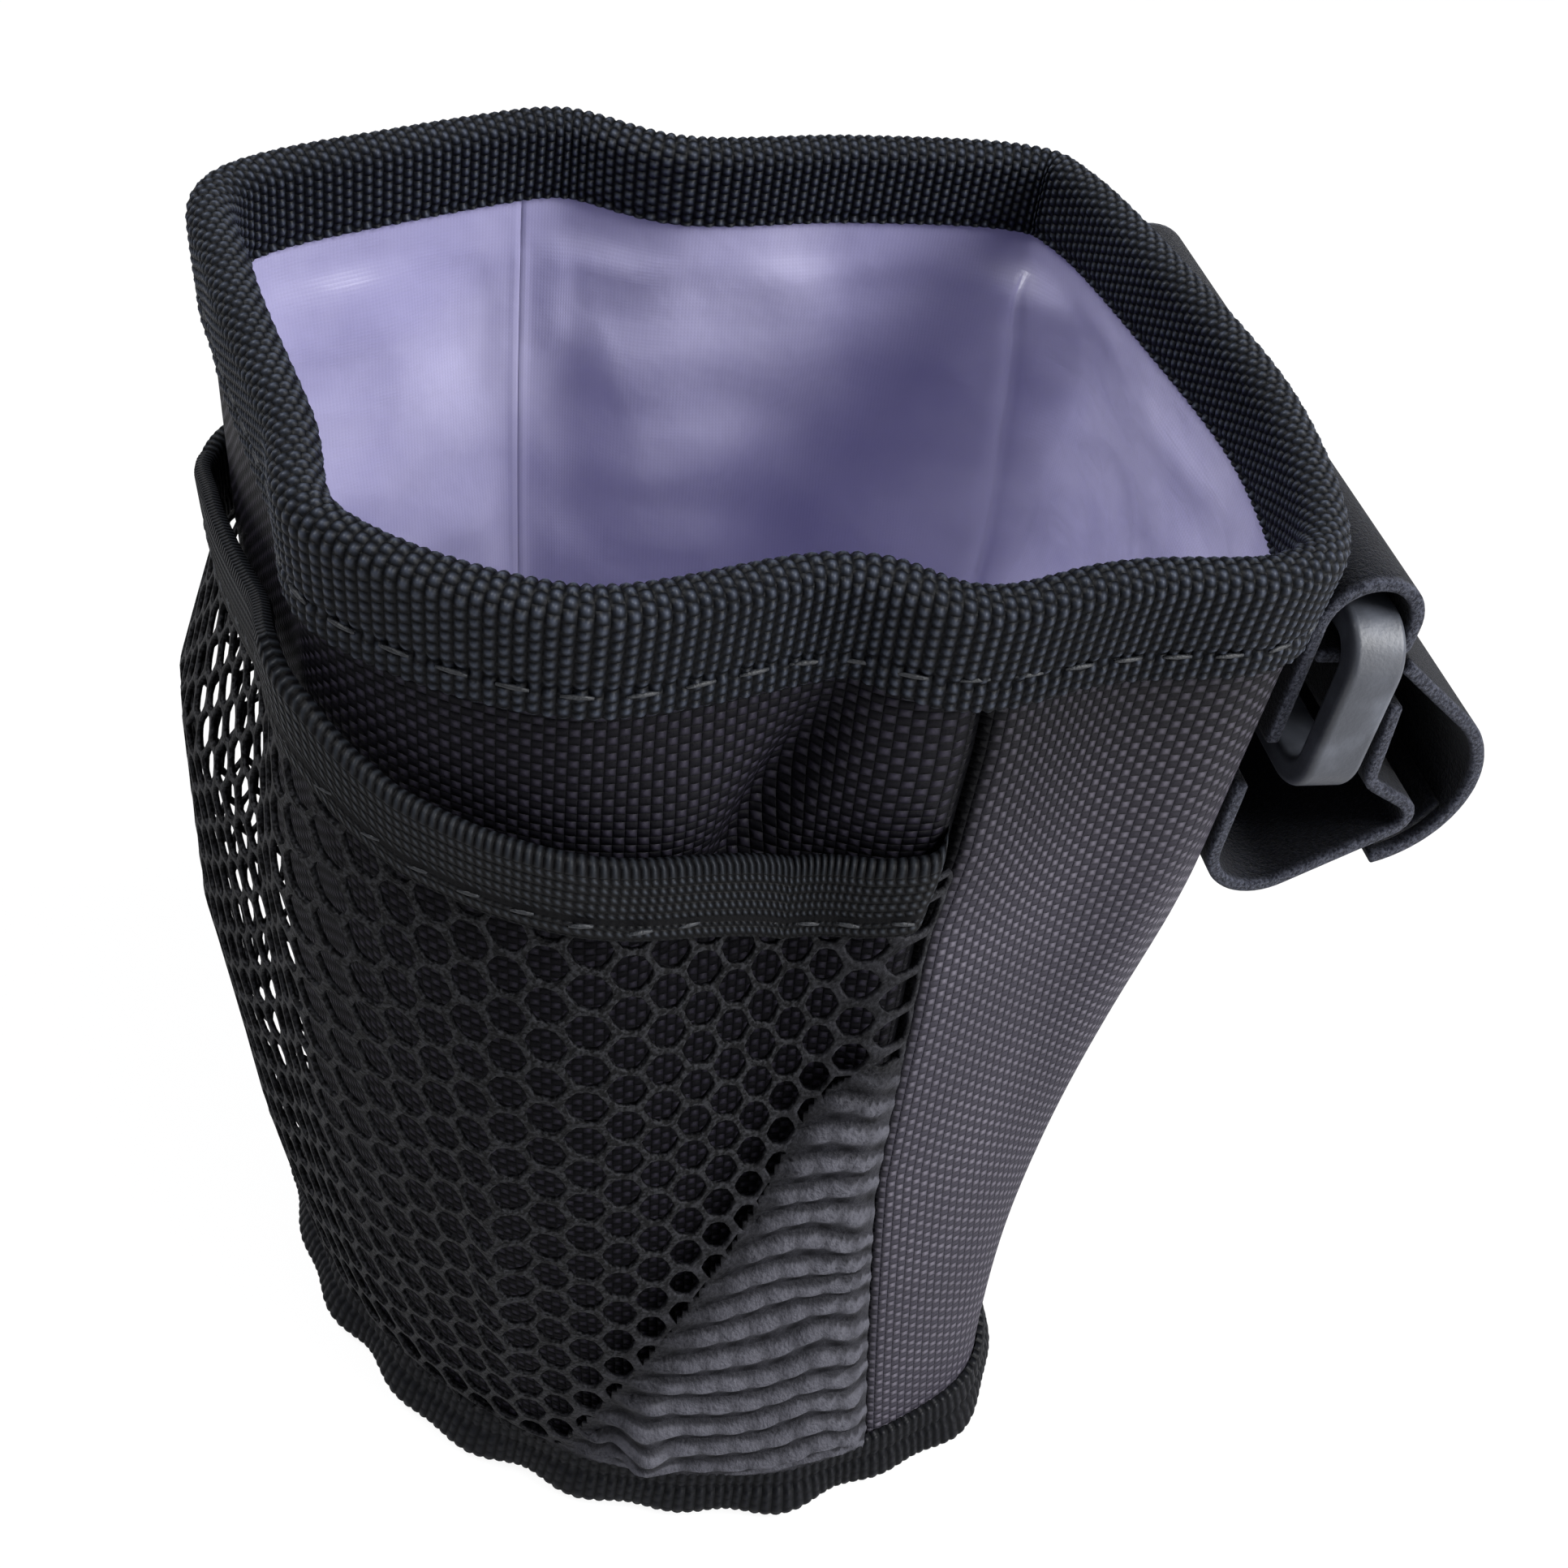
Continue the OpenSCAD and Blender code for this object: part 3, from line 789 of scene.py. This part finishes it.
def drawn_shut(u, z):
    """1 where the net is pulled into level pleats, low by the near seam, and 0 elsewhere."""
    edge = 15.9 + 0.027 * (z - 10)
    low = ease(edge - 0.4, edge + 0.5, u) * ease(72, 54, z)
    return np.maximum(low, 0.45 * ease(17.0, 17.5, u))


def pleat_level(u, z):
    """Counts the pleats up the net; they waver a little."""
    place = np.column_stack((15 * u, z, np.zeros_like(z)))
    return z / PLEAT + 0.3 * np.sin(3.5 * u) + 0.45 * wrinkles(place, 9, 2.2)


def pleats(u, z, along):
    """Each pleat leans out to a beaded upper edge and then steps back in."""
    level = pleat_level(u, z)
    step = level - np.floor(level)
    edge = ease(0.45, 0.85, step) * ease(1, 0.88, step)
    beads = np.abs(np.sin(np.pi * (along + 0.5 * np.floor(level))))
    return 1.4 * step**1.5 * ease(1, 0.86, step) - 0.4 + 0.3 * edge * beads


def net_away(u, z, along):
    """How far the net stands out from the wall."""
    free = elastic_top(u) - ELASTIC_DEPTH
    share = (z - SEAM_HEIGHT) / (free - SEAM_HEIGHT)
    belly = NET_BELLY * table(BELLY_ALONG, u) * table(BELLY_UP, share)
    folds = sum(depth * bell(u - place, wide) * bell(z - height, tall)
                for place, height, wide, tall, depth in NET_FOLDS)
    folds += ease(0.5, 0.8, drawn_shut(u, z)) * pleats(u, z, along)
    foot = np.clip((z - 5.5) / 4, 0, 1)
    tuck = 0.25 + 0.75 * seam_tuck(u, 0.12)
    return NET_FOOT + (NET_HUG - NET_FOOT + belly + folds) * foot * tuck


def pocket_net():
    """A net of six-sided cells in upright columns, sewn in at the base and the side seams."""
    way = Round(FAR_SEAM, TURN, NET_LEVEL)
    columns = round(way.length / NET_COLUMN)
    wide, tall = columns * NET_COLUMN, NET_HALVES * NET_HALF

    def on_wall(points):
        u = way.place(points[:, 0] / wide)
        return u, NET_LOW + points[:, 1] / tall * (elastic_top(u) - NET_UNDER - NET_LOW)

    bm = bmesh.new()
    marks = [bm.verts.layers.float.new(name) for name in NET_MARKS]
    bmesh.ops.create_grid(bm, x_segments=columns, y_segments=NET_HALVES, size=0.5)
    bmesh.ops.translate(bm, verts=bm.verts, vec=(0.5, 0.5, 0))
    place = {v: (round(v.co.x * columns), round(v.co.y * NET_HALVES)) for v in bm.verts}
    # Every second level edge goes, so that the grid becomes columns of bricks, and then its knots zigzag
    levels = [e for e in bm.edges if not e.is_boundary and place[e.verts[0]][1] == place[e.verts[1]][1]
              and (min(place[v][0] for v in e.verts) + place[e.verts[0]][1]) % 2]
    bmesh.ops.dissolve_edges(bm, edges=levels, use_verts=False)
    for v in bm.verts:
        i, j = place[v]
        aside = NET_ZIGZAG if (i + j) % 2 == 0 else -NET_ZIGZAG
        v.co = (i * NET_COLUMN + aside * (0 < i < columns), j * NET_HALF, 0)
    knots = set(bm.verts)
    # Cells become holes between threads, and those that are drawn shut go
    cells = list(zip(bm.faces, drawn_shut(*on_wall(np.array([f.calc_center_median() for f in bm.faces])))))
    loose = [(f, t) for f, t in cells if t <= NET_SHUT]
    bmesh.ops.delete(bm, geom=[f for f, t in cells if t > NET_SHUT], context="FACES")
    for slack, tightest, inset in NET_THREADS:
        group = [f for f, t in loose if slack < t <= tightest]
        bmesh.ops.inset_individual(bm, faces=group, thickness=inset, use_even_offset=True)
    bmesh.ops.delete(bm, geom=[f for f, t in loose], context="FACES")
    bmesh.ops.subdivide_edges(bm, edges=bm.edges, cuts=1, use_grid_fill=True)
    bmesh.ops.smooth_vert(bm, verts=[v for v in bm.verts if v not in knots], factor=0.5,
                          use_axis_x=True, use_axis_y=True)
    # Where the net is drawn shut it is a close sheet
    steps_along, steps_up = SHEET_STEPS
    sheet = bmesh.ops.create_grid(bm, x_segments=steps_along, y_segments=steps_up, size=0.5)["verts"]
    for v in sheet:
        v.co = (wide * (SHEET_FROM + (1 - SHEET_FROM) * (v.co.x + 0.5)), tall * (v.co.y + 0.5), 0)
    bm.faces.index_update()
    patches = sorted({f for v in sheet for f in v.link_faces}, key=lambda f: f.index)
    shut = drawn_shut(*on_wall(np.array([f.calc_center_median() for f in patches]))) > NET_SHUT - SHEET_LAP
    bmesh.ops.delete(bm, geom=[f for f, keep in zip(patches, shut) if not keep], context="FACES")
    points = spots_of(bm)
    u, z = on_wall(points)
    knot = np.array([v in knots for v in bm.verts])
    along = points[:, 0] / PLEAT_BEAD
    values = np.stack((knot, drawn_shut(u, z), pleat_level(u, z), along), 1)
    for v, row in zip(bm.verts, values):
        for mark, value in zip(marks, row):
            v[mark] = value
    put(bm, wall(u, z, net_away(u, z, along) + NET_KNOT * knot))
    piece = finished("pocket_net", bm, NET, "pouch", "pocket_mesh")
    thicken(piece, NET_THICK)


# Belt strap
def after(at, step, share=1.0):
    """Where a tape is, as (y, z, heading), after a share of a step of its run."""
    y, z, heading = at
    turned = np.radians(heading + step[1] * share)
    start = np.radians(heading)
    if step[1] == 0:
        return y + step[0] * share * np.cos(start), z + step[0] * share * np.sin(start), heading
    side = np.sign(step[1])
    return (y + side * step[0] * (np.sin(turned) - np.sin(start)),
            z - side * step[0] * (np.cos(turned) - np.cos(start)), heading + step[1] * share)


def trail(start, run):
    """Close stops along a tape's run."""
    stops = [start]
    for step in run:
        parts = STRAIGHT_PARTS if step[1] == 0 else max(4, round(abs(step[1]) / BEND_PART))
        at = stops[-1]
        stops += [after(at, step, k / parts) for k in range(1, parts + 1)]
    return np.array(stops)


def strap_tape(name, node, start, run, width, thick, body):
    """A stretch of hook-and-loop tape that follows its run."""
    stops = trail(start, run)
    lengths = run_along(stops[:, :2])

    def shape(across, up):
        y, z = along_path(stops, lengths, up)
        return np.column_stack((STRAP_MIDDLE + (across - 0.5) * width, y, z))

    size = (width, lengths[-1])
    bm = laid(STRAP_STEPS, int(lengths[-1] * STRAP_FINENESS), size, shape)
    bmesh.ops.recalc_face_normals(bm, faces=bm.faces)
    piece = finished(name, bm, NAP, body, node)
    thicken(piece, thick)
    edge = piece.modifiers.new("worn_edges", "BEVEL")
    edge.width = STRAP_WEAR * MM
    edge.segments = 2
    edge.limit_method = "ANGLE"
    return piece


def flap_with_hook():
    """The flap that closes the loop, and the hook patch that lies inside its bend, short of its end."""
    y, z, heading = after(FLAP_START, FLAP_RUN[0])
    radius, bend = FLAP_RUN[1]
    first = np.radians(heading)
    hub = np.array((y, z)) + radius * np.array((np.sin(first), -np.cos(first)))
    way = np.radians(heading + bend + HOOK_SHORT + HOOK_BEND)
    start = hub + HOOK_RADIUS * np.array((-np.sin(way), np.cos(way)))
    hook_patch = strap_tape("hook_patch", "flap_hook", (*start, np.degrees(way)),
                            ((HOOK_RADIUS, -HOOK_BEND),), HOOK_WIDTH, HOOK_THICK, "flap")
    strap_tape("flap_tape", "strap_flap", FLAP_START, FLAP_RUN, STRAP_WIDTH, STRAP, "flap")


side_panel("pocket_side_cloth", FAR_SEAM, TURN, "pocket_panel", POCKET_CLOTH)
side_panel("strap_side_cloth", 0, FAR_SEAM, "strap_panel", LIT_STRAP_CLOTH)
lining_panel("pocket_side_lining", FAR_LINING_SEAM, TURN, "lining_front", seed=3.1)
lining_panel("strap_side_lining", 0, FAR_LINING_SEAM, "lining_back", seed=7.7)
bottom("bottom_cloth", "base_panel", POCKET_CLOTH, away=-1.0, floor=0.5, thick=0.8, seed=1.3)
bottom("bottom_lining", "lining_base", LINING, away=-0.85, floor=1.6, thick=0.4, seed=5.5)
binding("rim_tape", "rim_binding", RIM_TAPE, z=POUCH_HEIGHT - 2.0, middle=-0.425, radius=1.75, leg=8,
        inner_leg=6.2, up=1, ribs_at=105, lift=rim_lift, rows=76, relief=0.28, beaded=0.5)
binding("base_tape", "base_binding", SHADED_BASE_TAPE, z=1.85, middle=0, radius=1.35, leg=4.8,
        inner_leg=4.8, up=-1, ribs_at=3, lift=no_lift, rows=48, relief=0.16, beaded=0.2)
seam_stitches("rim_stitches", 0, TURN, pitch=4.1, height_at=rim_seam, away=1.1, length=2.8)
pocket_elastic()
pocket_net()
seam_stitches("elastic_stitches", FAR_SEAM + 0.1, TURN - 0.1, pitch=3.6, height_at=elastic_seam,
              away=NET_HUG + 0.75, length=2.2)
strap_tape("keeper_tape", "strap_keeper", KEEPER_START, KEEPER_RUN, STRAP_WIDTH, STRAP, "pouch")
strap_tape("lower_tape", "strap_lower", LOWER_START, LOWER_RUN, STRAP_WIDTH, STRAP, "pouch")
flap_with_hook()
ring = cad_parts["strap_ring"]
ring.data.materials.clear()
ring.data.materials.append(PLASTIC)


# Floor, light and camera
def stage_floor():
    """A pale floor that the camera sees as white, with the pouch's shadow."""
    bm = bmesh.new()
    bmesh.ops.create_grid(bm, x_segments=1, y_segments=1, size=3)
    mesh = bpy.data.meshes.new("floor")
    bm.to_mesh(mesh)
    bm.free()
    floor = bpy.data.objects.new("floor", mesh)
    bpy.context.collection.objects.link(floor)
    f = Finish("pale_floor", Roughness=0.9)
    f.set("Base Color", (0.5, 0.5, 0.51, 1))
    shown = f.flow.node("LightPath", out="Is Camera Ray") * 0.8
    white = f.flow.node("Emission", None, {"Color": (1, 1, 1, 1), "Strength": 1.14})
    mixed = f.flow.node("MixShader", None, {0: shown, 1: Flow(f.flow.tree, f.shader.outputs[0]), 2: white})
    f.flow.tree.links.new(mixed.socket, f.flow.tree.nodes["Material Output"].inputs["Surface"])
    mesh.materials.append(f.material)


def soft_world():
    """A dim room that the camera sees as white."""
    world = bpy.data.worlds.new("soft_room")
    bpy.context.scene.world = world
    world.use_nodes = True
    flow = Flow(world.node_tree)
    seen = flow.node("LightPath", out="Is Camera Ray")
    room = world.node_tree.nodes["Background"]
    room.inputs["Color"].default_value = (0.93, 0.95, 1, 1)
    room.inputs["Strength"].default_value = 0.08
    white = flow.node("Background", None, {"Color": (1, 1, 1, 1), "Strength": 1.0})
    mixed = flow.node("MixShader", None, {0: seen, 1: Flow(flow.tree, room.outputs[0]), 2: white})
    flow.tree.links.new(mixed.socket, flow.tree.nodes["World Output"].inputs["Surface"])


def lamp(name, place, size, power):
    light = bpy.data.lights.new(name, "AREA")
    light.energy = power
    light.size = size
    thing = bpy.data.objects.new(name, light)
    bpy.context.collection.objects.link(thing)
    thing.location = place
    thing.rotation_mode = "QUATERNION"
    thing.rotation_quaternion = (Vector(LAMP_AIM) - Vector(place)).to_track_quat("-Z", "Y")


def photo_camera():
    data = bpy.data.cameras.new("photo_camera")
    data.sensor_width = SENSOR
    data.lens = LENS
    data.clip_start = 0.01
    camera = bpy.data.objects.new("photo_camera", data)
    bpy.context.collection.objects.link(camera)
    heading, tilt, roll = np.radians(CAMERA_TURN)
    right = Vector((np.cos(heading), np.sin(heading), 0))
    level = Vector((-np.sin(heading), np.cos(heading), 0))
    ahead = level * np.cos(tilt) - Vector((0, 0, np.sin(tilt)))
    upward = right.cross(ahead)
    across = right * np.cos(roll) - upward * np.sin(roll)
    upward = upward * np.cos(roll) + right * np.sin(roll)
    turned = Matrix((across, upward, -ahead)).transposed().to_4x4()
    camera.matrix_world = Matrix.Translation(CAMERA_PLACE) @ turned
    bpy.context.scene.camera = camera


stage_floor()
soft_world()
lamp("window", (0.28, 0.56, 0.58), size=0.5, power=9.5)
lamp("front_fill", (0.5, -0.4, 0.5), size=0.7, power=0.25)
lamp("top_fill", (-0.1, -0.4, 0.75), size=0.5, power=6.5)
lamp("low_fill", (0.6, 0.45, 0.16), size=0.5, power=2.2)
photo_camera()
bpy.context.scene.view_settings.view_transform = "Standard"
